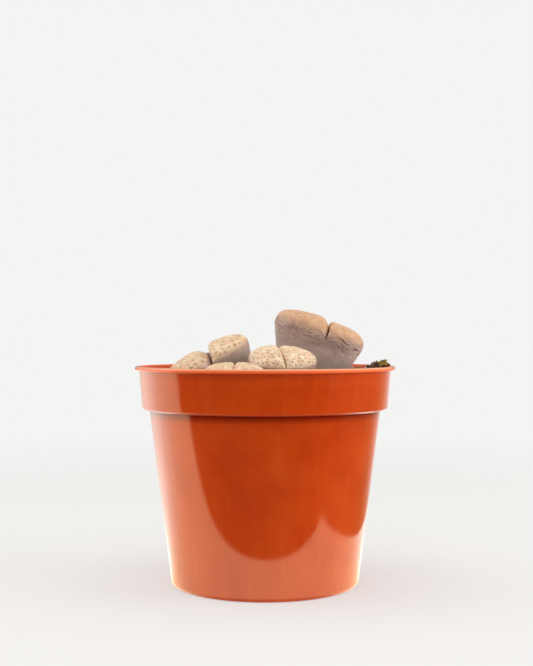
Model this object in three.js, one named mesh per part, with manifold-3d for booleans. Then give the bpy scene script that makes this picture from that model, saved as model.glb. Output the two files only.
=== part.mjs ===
// Potted lithops: four stone-plant heads standing in gritty soil in a round, stepped nursery pot.
// Millimetres, +Z up. The origin is on the surface the pot stands on, under the pot's axis,
// and the plants' best side looks towards -Y.

import * as THREE from 'three';
import { mergeVertices } from 'three/addons/utils/BufferGeometryUtils.js';
import Module from 'manifold-3d';

const wasm = await Module();
wasm.setup();

// ---------------------------------------------------------------- driving dimensions

const CLEARANCE = 0.35; // between touching pieces
const SECTORS = 48; // sides of every round piece, shared so that they nest evenly

const pot = {
  height: 90,
  lipRadius: 54,
  lipThickness: 1.8, // at its root; the underside slants up to a thin edge
  lipEdge: 0.9,
  collarTopRadius: 52.3,
  collarBottomRadius: 51,
  collarBottom: 72.4, // height of the step under the collar
  bodyTopRadius: 47.8,
  bodyBottomRadius: 39,
  footRadius: 36.5,
  footWidth: 5,
  wall: 1.4,
  edge: 0.5, // small roundings
  footInset: 1.2, // the slanted foot of the collar, across and up
  footRise: 1.5,
  cornerHeight: 2.6, // where the rounded bottom corner meets the body
  stepHeight: 2.7, // from the body's top to the collar's foot
  floorUnderside: 1.6,
  drainHoles: 6,
  drainRadius: 4,
  drainCircle: 23,
};

const bed = {
  soilTop: 80,
  gritLow: 84.4, // top of the grit layer at the left wall
  gritHigh: 88, // and at the right wall, where it is heaped
  gritSlope: 0.45, // part of that rise that is a long slope; the rest is the heap under the clump
  heapX: 14,
  heapY: 18,
  stoneCount: 118,
  stoneRadius: 3.4,
};

const clump = {
  x: 46.8,
  y: -4,
  halfLength: 5, // across the pot, from the grit out over the lip
  halfWidth: 5.5,
  bottom: 88.3,
  top: 93.2,
  // its ridge, from over the grit to over the lip: [distance along X, height over the bottom]
  ridge: [
    [-5, 0.6],
    [-4.1, 2.3],
    [-2.3, 2.9],
    [-0.3, 3.6],
    [2.2, 4.5],
    [3, 3.4],
    [5, 2.6],
  ],
  overhang: 0.4, // how far it may reach over the lip, past the collar's outside
  flakes: 16,
  flake: [3.4, 1.9, 0.9],
};

// A head is one fused pair of leaves. Its own frame has +Z up through the fissure's middle and
// the fissure along Y. reachLeft and reachRight are the two leaves' half-widths at the shoulder,
// depth is half the head's thickness, and crownLeft and crownRight are how far each face domes
// up. A crownPower of 2 makes the dome an ellipse, and more makes it flatter with a tighter
// shoulder. lipLeft and lipRight are how wide each leaf's edge rolls over into the fissure.
// lean tips the head to the right, nod tips it to the front and turn spins it.
const heads = [
  {
    name: 'lithops_left',
    face: '#e0bf9a',
    place: [-23, 8, 92.6],
    lean: -25,
    nod: 15,
    turn: 0,
    reachLeft: 20.3,
    reachRight: 17.6,
    depth: 12.1,
    crownLeft: 5.5,
    crownRight: 6.3,
    crownPower: 2.6,
    root: 27,
    taper: 1.7,
    fissureFloor: -3,
    fissureGap: 1.5,
    lipLeft: 7,
    lipRight: 3.2,
    folds: [],
  },
  {
    name: 'lithops_front',
    face: '#e3c3a0',
    place: [-12, -28, 87.6],
    lean: 1,
    nod: 8,
    turn: 0,
    reachLeft: 12.3,
    reachRight: 12.3,
    depth: 10.4,
    crownLeft: 4.4,
    crownRight: 4.6,
    crownPower: 2.4,
    root: 22,
    taper: 1.5,
    fissureFloor: 2.6,
    fissureGap: 0.2,
    lipLeft: 1.8,
    lipRight: 1.8,
    folds: [],
  },
  {
    name: 'lithops_middle',
    face: '#e7c8a5',
    place: [6.5, -8, 92.1],
    lean: 3,
    nod: 18,
    turn: 11,
    reachLeft: 13.6,
    reachRight: 15,
    depth: 12,
    crownLeft: 5.8,
    crownRight: 5.5,
    crownPower: 2.3,
    root: 26,
    taper: 1.3,
    fissureFloor: -0.5,
    fissureGap: 0.5,
    lipLeft: 2.4,
    lipRight: 3,
    folds: [],
  },
  {
    name: 'lithops_tall',
    face: '#cfae93',
    place: [25.8, 17, 101.7],
    lean: 19,
    nod: 4,
    turn: 0,
    reachLeft: 23.1,
    reachRight: 17.2,
    depth: 13.6,
    crownLeft: 8.7,
    crownRight: 7.9,
    crownPower: 3,
    root: 48,
    taper: 1.12,
    fissureFloor: 0.8,
    fissureGap: 0.3,
    lipLeft: 5.5,
    lipRight: 1.8,
    // creases under the shoulder of the front: from [x, z] to [x, z] in the head's frame
    folds: [
      [-9.3, 0.6, -5.8, 0.7],
      [5, 2.8, 10, 0.8],
      [11.8, 1.1, 15.4, -0.9],
    ],
  },
];

const SHOULDER = THREE.MathUtils.degToRad(70); // polar angle at which the crown ends
const PLAN_POWER = 2.2; // squareness of a head seen from above
const CROWN_ROWS = 9;
const SIDE_ROWS = 7;
const ROOT_ROWS = 2;
const SIDE_SHARE = 0.42; // part of the flank, below the shoulder, that the side rows cover
const WALL_ROWS = 2;
const SLICES = 20; // steps along the fissure
const SOCKET_STEPS = 14; // of a head's plain hole, each way
const SOCKET_GAP = CLEARANCE + 0.25; // wider, because both the head and its hole are faceted
const PIT_DEPTH = 0.7;
const PIT_REACH = 1; // the pits stop at this angle from the middle of the fissure
const PIT_CHANCE = 0.85;
const FOLD_DEPTH = 0.7;
const FOLD_WIDTH = 1.1;

// ---------------------------------------------------------------- small tools

const clamp = THREE.MathUtils.clamp;
const smooth = (t) => THREE.MathUtils.smoothstep(t, 0, 1);
const GOLDEN_ANGLE = Math.PI * (3 - Math.sqrt(5));

// A seeded random number generator, so that every build is the same.
function seeded(seed) {
  let state = seed;
  return () => {
    state = (state * 1664525 + 1013904223) % 4294967296;
    return state / 4294967296;
  };
}

// A closed BufferGeometry as a manifold-3d solid.
function solid(geometry) {
  const bare = geometry.clone();
  bare.deleteAttribute('normal');
  bare.deleteAttribute('uv');
  const welded = mergeVertices(bare, 1e-4);
  const index = [];
  const all = welded.index.array;
  for (let i = 0; i < all.length; i += 3) {
    const [a, b, c] = [all[i], all[i + 1], all[i + 2]];
    if (a !== b && b !== c && c !== a) index.push(a, b, c);
  }
  const mesh = new wasm.Mesh({
    numProp: 3,
    vertProperties: new Float32Array(welded.attributes.position.array),
    triVerts: new Uint32Array(index),
  });
  return new wasm.Manifold(mesh);
}

// A manifold-3d solid as a BufferGeometry.
function geometryOf(body) {
  const mesh = body.getMesh();
  const geometry = new THREE.BufferGeometry();
  geometry.setAttribute('position', new THREE.BufferAttribute(mesh.vertProperties, 3));
  geometry.setIndex(new THREE.BufferAttribute(mesh.triVerts, 1));
  geometry.computeVertexNormals();
  return geometry;
}

// A profile of [radius, height] points, given from the bottom of the axis outwards and up,
// turned about Z.
function turned(profile) {
  const points = profile.map(([radius, height]) => new THREE.Vector2(radius, height));
  return new THREE.LatheGeometry(points, SECTORS).rotateX(Math.PI / 2);
}

function named(name, geometry, colour, roughness) {
  const material = new THREE.MeshStandardMaterial({ color: colour, roughness, metalness: 0 });
  const mesh = new THREE.Mesh(geometry, material);
  mesh.name = name;
  return mesh;
}

// ---------------------------------------------------------------- pot

// The inner radius at a height: the wall's thickness inside the tapered body or collar.
function innerRadius(height) {
  const { wall } = pot;
  if (height < pot.collarBottom) {
    const t = height / pot.collarBottom;
    return THREE.MathUtils.lerp(pot.bodyBottomRadius, pot.bodyTopRadius, t) - wall;
  }
  const t = (height - pot.collarBottom) / (pot.height - pot.collarBottom);
  return THREE.MathUtils.lerp(pot.collarBottomRadius, pot.collarTopRadius, t) - wall;
}

const floorTop = pot.floorUnderside + pot.wall;
const bodyTop = pot.collarBottom + pot.edge - pot.stepHeight;

// The inner outline from the lip down to the floor's middle, drawn in by a gap on every side.
function innerOutline(top, gap) {
  const { wall, edge } = pot;
  const stepTop = pot.collarBottom + pot.footRise + gap;
  return [
    [innerRadius(top) - gap, top],
    [innerRadius(stepTop) - gap, stepTop],
    [innerRadius(bodyTop) + edge - gap, stepTop - edge],
    [innerRadius(bodyTop) - gap, bodyTop],
    [innerRadius(floorTop) - gap, floorTop + gap + wall],
    [innerRadius(floorTop) - wall - gap, floorTop + gap],
    [0, floorTop + gap],
  ];
}

function potSolid() {
  const { height, edge, collarBottom, footRadius, lipRadius, bodyTopRadius } = pot;
  const shell = turned([
    [0, pot.floorUnderside],
    [footRadius - pot.footWidth - edge, pot.floorUnderside],
    [footRadius - pot.footWidth, 0],
    [footRadius, 0],
    [pot.bodyBottomRadius - 0.3 * pot.cornerHeight, 0.3 * pot.cornerHeight],
    [pot.bodyBottomRadius, pot.cornerHeight],
    [bodyTopRadius, bodyTop],
    [bodyTopRadius + 0.2, collarBottom - 0.2],
    [pot.collarBottomRadius - pot.footInset, collarBottom - 0.2],
    [pot.collarBottomRadius, collarBottom - 0.2 + pot.footRise],
    [pot.collarTopRadius, height - pot.lipThickness],
    [lipRadius, height - pot.lipEdge],
    [lipRadius, height - edge],
    [lipRadius - edge, height],
    [innerRadius(height) + edge, height],
    ...innerOutline(height - edge, 0),
  ]);
  let body = solid(shell);
  for (let i = 0; i < pot.drainHoles; i++) {
    const angle = (i * 2 * Math.PI) / pot.drainHoles;
    const hole = new THREE.CylinderGeometry(pot.drainRadius, pot.drainRadius, 10, 16).rotateX(Math.PI / 2);
    hole.translate(pot.drainCircle * Math.cos(angle), pot.drainCircle * Math.sin(angle), 0);
    body = body.subtract(solid(hole));
  }
  return body;
}

// ---------------------------------------------------------------- heads

// The turn from a head's own frame to the pot's.
function tilt(head) {
  const spin = new THREE.Matrix4().makeRotationZ(THREE.MathUtils.degToRad(head.turn));
  const nod = new THREE.Matrix4().makeRotationX(THREE.MathUtils.degToRad(head.nod));
  const lean = new THREE.Matrix4().makeRotationY(THREE.MathUtils.degToRad(head.lean));
  return lean.multiply(nod).multiply(spin).setPosition(...head.place);
}

// The smooth outer surface of one leaf, without relief. side is 1 for the right leaf and -1 for
// the left one. phi runs from the fissure, 0, round the leaf's outer side to the root, PI, and
// theta runs along the fissure from the front, -PI/2, to the back.
function leafPoint(head, side, phi, theta) {
  const reach = side > 0 ? head.reachRight : head.reachLeft;
  const crown = side > 0 ? head.crownRight : head.crownLeft;
  const lip = side > 0 ? head.lipRight : head.lipLeft;
  const nx = Math.cos(theta) * Math.sin(phi);
  const ny = Math.sin(theta);
  const polar = Math.acos(clamp(Math.cos(theta) * Math.cos(phi), -1, 1));
  const across = Math.hypot(nx, ny);
  const [ux, uy] = across > 1e-9 ? [nx / across, ny / across] : [0, 1];
  const span = (Math.abs(ux) / reach) ** PLAN_POWER + (Math.abs(uy) / head.depth) ** PLAN_POWER;
  const radius = 1 / span ** (1 / PLAN_POWER);

  let spread;
  let height;
  if (polar <= SHOULDER) {
    const rise = (polar / SHOULDER) * (Math.PI / 2);
    const n = head.crownPower;
    const r = 1 / (Math.sin(rise) ** n + Math.cos(rise) ** n) ** (1 / n);
    spread = r * Math.sin(rise);
    height = crown * r * Math.cos(rise);
  } else {
    const down = (polar - SHOULDER) / (Math.PI - SHOULDER);
    spread = 1 - down ** head.taper;
    height = -head.root * down;
  }
  const x = radius * ux * spread;
  const y = radius * uy * spread;

  // each leaf's edge rolls over into the fissure
  const edge = clamp(1 - x / lip, 0, 1);
  const raised = smooth(height / (0.6 * crown));
  height -= raised * lip * 0.75 * (1 - Math.sqrt(1 - edge * edge));
  return new THREE.Vector3(x, y, height);
}

// How far each leaf stands off the fissure's middle at a height.
function fissureHalf(head, height) {
  const top = 0.8 * Math.max(head.crownLeft, head.crownRight);
  const open = (height - head.fissureFloor) / (top - head.fissureFloor);
  return (head.fissureGap / 2) * smooth(open);
}

// Depth of the creases at a point of the front: the nearest fold's valley.
function foldDepth(head, point) {
  if (point.y > 0) return 0;
  let deepest = 0;
  const spot = new THREE.Vector3(point.x, 0, point.z);
  const nearest = new THREE.Vector3();
  for (const [x0, z0, x1, z1] of head.folds) {
    const fold = new THREE.Line3(new THREE.Vector3(x0, 0, z0), new THREE.Vector3(x1, 0, z1));
    const away = fold.closestPointToPoint(spot, true, nearest).distanceTo(spot);
    deepest = Math.max(deepest, FOLD_DEPTH * Math.exp(-((away / FOLD_WIDTH) ** 2)));
  }
  return deepest;
}

// The polar steps from the fissure to the root: close on the crown and the flank that shows,
// wide on the buried root.
function polarSteps() {
  const steps = [];
  const sideEnd = SHOULDER + (Math.PI - SHOULDER) * SIDE_SHARE;
  for (let i = 0; i < CROWN_ROWS; i++) steps.push(SHOULDER * (i / CROWN_ROWS) ** 1.15);
  for (let i = 0; i < SIDE_ROWS; i++) steps.push(SHOULDER + ((sideEnd - SHOULDER) * i) / SIDE_ROWS);
  for (let i = 0; i <= ROOT_ROWS; i++) steps.push(sideEnd + ((Math.PI - sideEnd) * i) / ROOT_ROWS);
  return steps;
}

// The head's closed surface as a ring of lines, each running along the fissure from pole to pole:
// up the right leaf, down one wall of the fissure and up the other, and down the left leaf.
function headRing(head, random) {
  const steps = polarSteps();
  const leaf = (side, phi, row) => {
    const line = [];
    for (let j = 0; j <= SLICES; j++) {
      const theta = (j / SLICES - 0.5) * Math.PI;
      const point = leafPoint(head, side, phi, theta);
      point.x = side * (point.x + fissureHalf(head, point.z));
      const onFace = row > 1 && row < CROWN_ROWS && Math.abs(theta) < PIT_REACH;
      const pitted = onFace && row % 2 === 0 && (row / 2 + j) % 2 === 0 && random() < PIT_CHANCE;
      const depth = (pitted ? PIT_DEPTH : 0) + foldDepth(head, point);
      const inward = new THREE.Vector3(0, 0, -0.5 * head.depth).sub(point).normalize();
      line.push(point.addScaledVector(inward, depth));
    }
    return line;
  };
  const right = steps.map((phi, row) => leaf(1, phi, row));
  const left = steps.map((phi, row) => leaf(-1, phi, row));

  // the fissure's walls close towards its floor; where the edge is below the floor they are shut
  const wall = (edge, share) => edge.map((point) => {
    const drop = Math.max(point.z - head.fissureFloor, 0);
    return new THREE.Vector3(point.x * (1 - share) ** 0.6, point.y, point.z - drop * share);
  });
  const shares = [];
  for (let i = 1; i <= WALL_ROWS; i++) shares.push(i / (WALL_ROWS + 1));
  return [
    ...right.slice().reverse(),
    ...shares.map((share) => wall(right[0], share)),
    wall(right[0], 1),
    ...shares.map((share) => wall(left[0], share)).reverse(),
    ...left.slice(0, -1),
  ];
}

// A closed geometry from a ring of lines that all start at one pole and end at the other.
function ringGeometry(ring) {
  const rows = ring.length;
  const columns = ring[0].length;
  const positions = ring.flatMap((line) => line.flatMap((point) => point.toArray()));
  const index = [];
  for (let i = 0; i < rows; i++) {
    const next = (i + 1) % rows;
    for (let j = 0; j < columns - 1; j++) {
      const [a, b] = [i * columns + j, i * columns + j + 1];
      const [c, d] = [next * columns + j + 1, next * columns + j];
      index.push(a, b, c, a, c, d);
    }
  }
  const geometry = new THREE.BufferGeometry();
  geometry.setAttribute('position', new THREE.Float32BufferAttribute(positions, 3));
  geometry.setIndex(index);
  return geometry;
}

function headSolid(head, number) {
  const geometry = ringGeometry(headRing(head, seeded(11 + number)));
  return solid(geometry.applyMatrix4(tilt(head)));
}

// The plain hole that a head stands in: its outer form without fissure or relief, grown all
// round and most at the root's point, with few faces.
function socketSolid(head) {
  const aside = SOCKET_GAP + head.fissureGap / 2;
  const plain = {
    ...head,
    reachLeft: head.reachLeft + aside,
    reachRight: head.reachRight + aside,
    depth: head.depth + SOCKET_GAP,
    crownLeft: head.crownLeft + SOCKET_GAP,
    crownRight: head.crownRight + SOCKET_GAP,
    root: head.root + 3 * SOCKET_GAP,
    lipLeft: 1e-3,
    lipRight: 1e-3,
  };
  const line = (side, i) => {
    const points = [];
    for (let j = 0; j <= SOCKET_STEPS; j++) {
      const theta = (j / SOCKET_STEPS - 0.5) * Math.PI;
      const point = leafPoint(plain, side, (i / SOCKET_STEPS) * Math.PI, theta);
      point.x *= side;
      points.push(point);
    }
    return points;
  };
  const ring = [];
  for (let i = SOCKET_STEPS; i > 0; i--) ring.push(line(1, i));
  for (let i = 0; i < SOCKET_STEPS; i++) ring.push(line(-1, i));
  return solid(ringGeometry(ring).applyMatrix4(tilt(head)));
}

// How far a point lies outside a head's outline; below 0 is inside.
function outside(head, point) {
  const local = point.clone().applyMatrix4(tilt(head).invert());
  const reach = local.x > 0 ? head.reachRight : head.reachLeft;
  const down = clamp(-local.z / head.root, 0, 1);
  const spread = 1 - down ** head.taper;
  const across = Math.hypot(local.x / reach, local.y / head.depth);
  return (across - spread) * head.depth;
}

// ---------------------------------------------------------------- soil and grit

function soilSolid(sockets) {
  const outline = innerOutline(bed.soilTop, CLEARANCE).reverse();
  let body = solid(turned([...outline, [0, bed.soilTop]]));
  for (const socket of sockets) body = body.subtract(socket);
  return body;
}

// The grit's surface: low on the left and heaped towards the right wall.
function gritHeight(x, y) {
  const slope = smooth(0.3 + 0.8 * (x / pot.lipRadius));
  const heap = Math.exp(-(((x - clump.x) / bed.heapX) ** 2) - (((y - clump.y) / bed.heapY) ** 2));
  const rise = bed.gritSlope * slope + (1 - bed.gritSlope) * heap;
  return THREE.MathUtils.lerp(bed.gritLow, bed.gritHigh, rise);
}

const gritBottom = bed.soilTop + CLEARANCE;

// The layer that the stones are sunk in, with its surface in rings that follow gritHeight.
function gritLayer() {
  const rings = 4;
  const edge = innerRadius(bed.gritLow) - CLEARANCE;
  const top = [];
  for (let i = rings; i >= 0; i--) top.push([(edge * i) / rings, bed.gritLow]);
  const layer = turned([[0, gritBottom], [innerRadius(gritBottom) - CLEARANCE, gritBottom], ...top]);
  const position = layer.attributes.position;
  for (let i = 0; i < position.count; i++) {
    const onTop = position.getZ(i) > (gritBottom + bed.gritLow) / 2;
    if (onTop) position.setZ(i, gritHeight(position.getX(i), position.getY(i)));
  }
  return solid(layer);
}

// One rough block of a length, width and height, with every corner moved a little.
function roughBlock([length, width, height], random) {
  const box = new THREE.BoxGeometry(length, width, height);
  box.deleteAttribute('normal');
  box.deleteAttribute('uv');
  const block = mergeVertices(box, 1e-4);
  const position = block.attributes.position;
  const moved = () => 0.62 + 0.55 * random();
  for (let i = 0; i < position.count; i++) {
    position.setXYZ(i, position.getX(i) * moved(), position.getY(i) * moved(), position.getZ(i) * moved());
  }
  return block;
}

// Stones on a sunflower spiral over the layer, sunk to about half their height.
function gritSolid(sockets) {
  const random = seeded(5);
  let body = gritLayer();
  const field = innerRadius(bed.gritLow) - bed.stoneRadius;
  for (let i = 0; i < bed.stoneCount; i++) {
    const r = field * Math.sqrt((i + 0.5) / bed.stoneCount);
    const x = r * Math.cos(i * GOLDEN_ANGLE) + random() - 0.5;
    const y = r * Math.sin(i * GOLDEN_ANGLE) + random() - 0.5;
    const radius = bed.stoneRadius * (0.75 + 0.4 * random());
    const centre = new THREE.Vector3(x, y, gritHeight(x, y) - 0.1 * radius);
    const underClump = Math.hypot(
      (x - clump.x) / (clump.halfLength + 1.3 * bed.stoneRadius),
      (y - clump.y) / (clump.halfWidth + 1.3 * bed.stoneRadius),
    ) < 1;
    if (underClump || heads.some((head) => outside(head, centre) < 0.5 * radius)) continue;
    const block = roughBlock([2 * radius, 1.7 * radius, 1.4 * radius], random);
    block.rotateX(random() - 0.5);
    block.rotateY(random() - 0.5);
    block.rotateZ(random() * Math.PI);
    body = body.add(solid(block.translate(centre.x, centre.y, centre.z)));
  }
  // nothing reaches into the soil below or the wall around
  const room = turned([
    [0, gritBottom],
    [innerRadius(gritBottom) - CLEARANCE, gritBottom],
    [innerRadius(pot.height) - CLEARANCE, pot.height],
    [0, pot.height],
  ]);
  body = body.intersect(solid(room));
  for (const socket of sockets) body = body.subtract(socket);
  return body;
}

// ---------------------------------------------------------------- clump of dry moss

// Height of the clump's ridge over its bottom, at a distance along X from its middle.
function ridgeHeight(along) {
  const { ridge } = clump;
  for (let i = 1; i < ridge.length; i++) {
    const [[x0, z0], [x1, z1]] = [ridge[i - 1], ridge[i]];
    if (along <= x1) return THREE.MathUtils.mapLinear(Math.max(along, x0), x0, x1, z0, z1);
  }
  return ridge.at(-1)[1];
}

// A heap of flat flakes on a core that follows the ridge, inside the wall and a little over the
// lip.
function clumpSolid() {
  const random = seeded(23);
  const { halfLength, halfWidth, bottom } = clump;
  const core = new THREE.IcosahedronGeometry(1, 3);
  const position = core.attributes.position;
  for (let i = 0; i < position.count; i++) {
    const [x, y, z] = [position.getX(i), position.getY(i), position.getZ(i)];
    const height = Math.max(z, 0) ** 0.3 * (ridgeHeight(x * halfLength) - 0.2) + Math.min(z, 0);
    position.setXYZ(i, clump.x + x * halfLength, clump.y + 0.9 * y * halfWidth, bottom + height);
  }
  let body = solid(core);
  for (let i = 0; i < clump.flakes; i++) {
    const share = (i + 0.5) / clump.flakes;
    const out = 0.85 * Math.sqrt(share);
    const turn = i * GOLDEN_ANGLE;
    const flake = roughBlock(clump.flake, random);
    flake.rotateX(random() - 0.5);
    flake.rotateY(0.6 * (random() - 0.8));
    flake.rotateZ(turn);
    flake.translate(
      clump.x + out * halfLength * Math.cos(turn),
      clump.y + out * halfWidth * Math.sin(turn),
      bottom + (1 - 0.3 * share) * (ridgeHeight(out * halfLength * Math.cos(turn)) - 0.2),
    );
    body = body.add(solid(flake));
  }
  // it lies flat on the grit, inside the wall, and hangs over the lip above it
  const reach = pot.collarTopRadius + clump.overhang;
  const room = turned([
    [0, clump.bottom],
    [innerRadius(clump.bottom) - CLEARANCE, clump.bottom],
    [innerRadius(pot.height) - CLEARANCE, pot.height + CLEARANCE],
    [reach, pot.height + CLEARANCE],
    [reach, clump.top],
    [0, clump.top],
  ]);
  return body.intersect(solid(room));
}

// ---------------------------------------------------------------- assembly

const sockets = heads.map(socketSolid);
const object = new THREE.Group();
object.name = 'potted_lithops';
object.add(named('pot', geometryOf(potSolid()), '#cf4a17', 0.3));
object.add(named('soil', geometryOf(soilSolid(sockets)), '#3d2f26', 1));
object.add(named('grit', geometryOf(gritSolid(sockets)), '#8a7460', 0.95));
heads.forEach((head, number) => {
  object.add(named(head.name, geometryOf(headSolid(head, number)), head.face, 0.6));
});
object.add(named('moss_clump', geometryOf(clumpSolid()), '#5f4a2b', 1));

export default object;
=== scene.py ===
"""Potted lithops: four cleft stone-plant heads in gritty soil, in a glossy orange nursery pot.

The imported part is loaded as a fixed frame, and finer pieces of the same form stand for its nodes.
Lengths here are millimetres in the part's own frame (+Z up, plants facing -Y), and new_mesh()
turns them into metres. Only the lamps and the camera are placed in metres.
"""

import math
from types import SimpleNamespace as Sizes

import bmesh
import bpy
import numpy as np
from mathutils import Matrix, Quaternion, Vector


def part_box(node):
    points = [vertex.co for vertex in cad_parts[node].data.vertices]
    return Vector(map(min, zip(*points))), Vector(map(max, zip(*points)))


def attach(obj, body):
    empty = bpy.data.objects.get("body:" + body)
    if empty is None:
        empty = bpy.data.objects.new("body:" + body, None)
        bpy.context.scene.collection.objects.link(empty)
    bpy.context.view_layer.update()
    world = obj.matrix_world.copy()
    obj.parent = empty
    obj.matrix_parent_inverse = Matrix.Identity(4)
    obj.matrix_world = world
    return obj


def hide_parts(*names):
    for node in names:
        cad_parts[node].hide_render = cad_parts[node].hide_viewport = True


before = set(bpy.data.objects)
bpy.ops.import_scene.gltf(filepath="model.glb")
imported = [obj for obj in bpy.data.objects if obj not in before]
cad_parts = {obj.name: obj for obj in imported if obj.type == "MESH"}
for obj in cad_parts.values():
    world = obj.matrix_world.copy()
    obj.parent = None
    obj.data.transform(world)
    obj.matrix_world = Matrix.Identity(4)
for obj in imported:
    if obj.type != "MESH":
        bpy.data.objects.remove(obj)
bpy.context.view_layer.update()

# ---- driving sizes

MM = 0.001
SECTORS = 192  # sides of the round pieces

pot = Sizes(
    height=90,
    wall=1.4,
    lip_radius=54,
    lip_thickness=1.8,  # at its root
    lip_edge=1.5,  # its thickness at the edge
    collar_top_radius=52.3,
    collar_bottom_radius=51,
    collar_bottom=72.4,
    foot_inset=1.2,  # the slanted foot of the collar, across and up
    foot_rise=0.8,
    step_drop=0.2,  # from the collar's bottom down to the corner where the body meets it
    inner_step=(1.5, 0.9),  # heights over the collar's bottom where the inner step starts and ends
    body_top=70.4,  # where the body has its top radius
    body_top_radius=47.8,
    body_bottom_radius=39,
    bottom_inset=0.4,  # the body's rounded bottom corner
    bottom_fillet=2.3,
    ring_radius=36.5,  # the foot ring's flat face, up to the rounded corner
    ring_width=5,
    ring_draft=0.5,  # how far its inner side slants
    floor_underside=1.6,
    floor_top=3,
    drain_holes=6,
    drain_radius=4,
    drain_circle=23,
)

# low and high are the grit's top at the left wall and at the right one, where it is heaped
bed = Sizes(bottom=80.4, low=84.4, high=88, slope_share=0.45, heap_x=14, heap_y=18)
clump = Sizes(x=46.8, y=-4, half_length=5, half_width=5.5, bottom=88.3)


def head_sizes(name, **own):
    """A head is one fused pair of leaves. Its own frame has +Z up through the cleft's middle and
    the cleft along Y. reach is each leaf's half-width at the shoulder (left, right), depth half
    the head's thickness, crown how far each face domes up, and lip how wide its edge at the cleft
    is rounded. lean tips the head right, nod to the front. rim is the height where the cream face
    gives way to the flank, and pit_floor the lowest pit's. wrinkle is how deep the flank's lines
    are. folds are creases under the front shoulder, each from x, z to x, z."""
    shared = dict(turn=0, folds=[], wrinkle=0.06, rim_blend=1.6)
    return Sizes(name=name, **{**shared, **own})


heads = [
    head_sizes(
        "lithops_left", place=(-23, 8, 92.6), lean=-25, nod=15,
        reach=(20.3, 17.6), depth=12.1, crown=(5.5, 6.3), crown_power=2.6, root=27, taper=1.7,
        cleft_floor=-3, cleft_gap=1.5, lip=(7, 3.2), rim=1.6, rim_blend=2.6,
        pit_floor=2.6, pit_spacing=2.8, pit_size=0.56,
    ),
    head_sizes(
        "lithops_front", place=(-12, -28, 87.6), lean=1, nod=8,
        reach=(12.3, 12.3), depth=10.4, crown=(4.4, 4.6), crown_power=2.4, root=22, taper=1.5,
        cleft_floor=2.6, cleft_gap=0.2, lip=(1.8, 1.8), rim=0.5,
        pit_floor=1.4, pit_spacing=1.6, pit_size=0.33,
    ),
    head_sizes(
        "lithops_middle", place=(6.5, -8, 92.1), lean=3, nod=18, turn=11,
        reach=(13.6, 15), depth=12, crown=(5.8, 5.5), crown_power=2.3, root=26, taper=1.3,
        cleft_floor=-0.5, cleft_gap=0.5, lip=(2.4, 3), rim=0.9,
        pit_floor=1.7, pit_spacing=1.85, pit_size=0.44,
    ),
    head_sizes(
        "lithops_tall", place=(25.8, 17, 101.7), lean=19, nod=4,
        reach=(23.1, 17.2), depth=13.6, crown=(8.7, 7.9), crown_power=3, root=48, taper=1.12,
        cleft_floor=0.8, cleft_gap=0.15, lip=(5.5, 1.8), rim=2.4, rim_blend=6,
        pit_floor=6.2, pit_spacing=2, pit_size=0.38, wrinkle=0.2,
        folds=[(-9.3, 0.6, -5.8, 0.7), (5, 2.8, 10, 0.8), (11.8, 1.1, 15.4, -0.9)],
    ),
]
tall_head = heads[-1]

SHOULDER = math.radians(70)  # polar angle at which the crown ends
PLAN_POWER = 2.2  # squareness of a head seen from above
CROWN_ROWS = 84
SIDE_ROWS = 40
ROOT_ROWS = 10
SIDE_SHARE = 0.42  # part of the flank, below the shoulder, that the close side rows cover
WALL_ROWS = 5
SLICES = 130  # steps along the cleft
FLANK_FADE = (100.5, 94)  # heights in the part between which the flanks turn paler, downwards, as painted light


# ---- numbers and noise


def smooth(t):
    t = np.clip(t, 0, 1)
    return t * t * (3 - 2 * t)


def radius_of(points):
    return np.hypot(points[:, 0], points[:, 1])


def around(count):
    """Angles that divide a turn evenly."""
    return np.arange(count) * 2 * math.pi / count


def bell(t):
    return np.exp(-t * t)


def unit(vector):
    return vector / np.linalg.norm(vector)


def noise(points, cell, seed):
    """Smooth noise from -1 to 1. cell is the size of one bump, or its size along x, y and z."""
    table = np.random.default_rng(seed).uniform(-1, 1, (32, 32, 32))
    at = points / np.array(cell)
    low = np.floor(at).astype(int)
    part = smooth(at - low)
    total = np.zeros(len(at))
    for corner in np.ndindex(2, 2, 2):
        weight = np.prod(np.where(np.array(corner) == 1, part, 1 - part), axis=1)
        i, j, k = ((low + corner) % 32).T
        total += weight * table[i, j, k]
    return total


def layered_noise(points, cell, seed, octaves=3):
    cell = np.array(cell, float)
    total = sum(noise(points, cell / 2**i, seed + i) / 2**i for i in range(octaves))
    return total / sum(0.5**i for i in range(octaves))


def segment_distance(points, start, end):
    """How far points lie from a segment, and where along it from 0 to 1 they are nearest."""
    along = end - start
    share = np.clip((points - start) @ along / (along @ along), 0, 1)
    return np.linalg.norm(points - start - share[:, None] * along, axis=1), share


# ---- meshes


class Gathered:
    """Several meshes gathered into one, with layers of one number for each point."""

    def __init__(self):
        self.points, self.faces, self.layers = [], [], {}
        self.count = 0

    def take(self, points, faces, **layers):
        self.points.append(points)
        self.faces.extend(tuple(self.count + k for k in face) for face in faces)
        for layer, values in layers.items():
            self.layers.setdefault(layer, []).append(np.broadcast_to(values, len(points)))
        self.count += len(points)

    def joined(self):
        layers = {layer: np.concatenate(values) for layer, values in self.layers.items()}
        return np.vstack(self.points), self.faces, layers


def new_mesh(name, points, faces):
    mesh = bpy.data.meshes.new(name)
    mesh.from_pydata((np.asarray(points) * MM).tolist(), [], faces)
    return mesh


def new_object(name, data):
    added = bpy.data.objects.new(name, data)
    bpy.context.scene.collection.objects.link(added)
    return added


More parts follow.
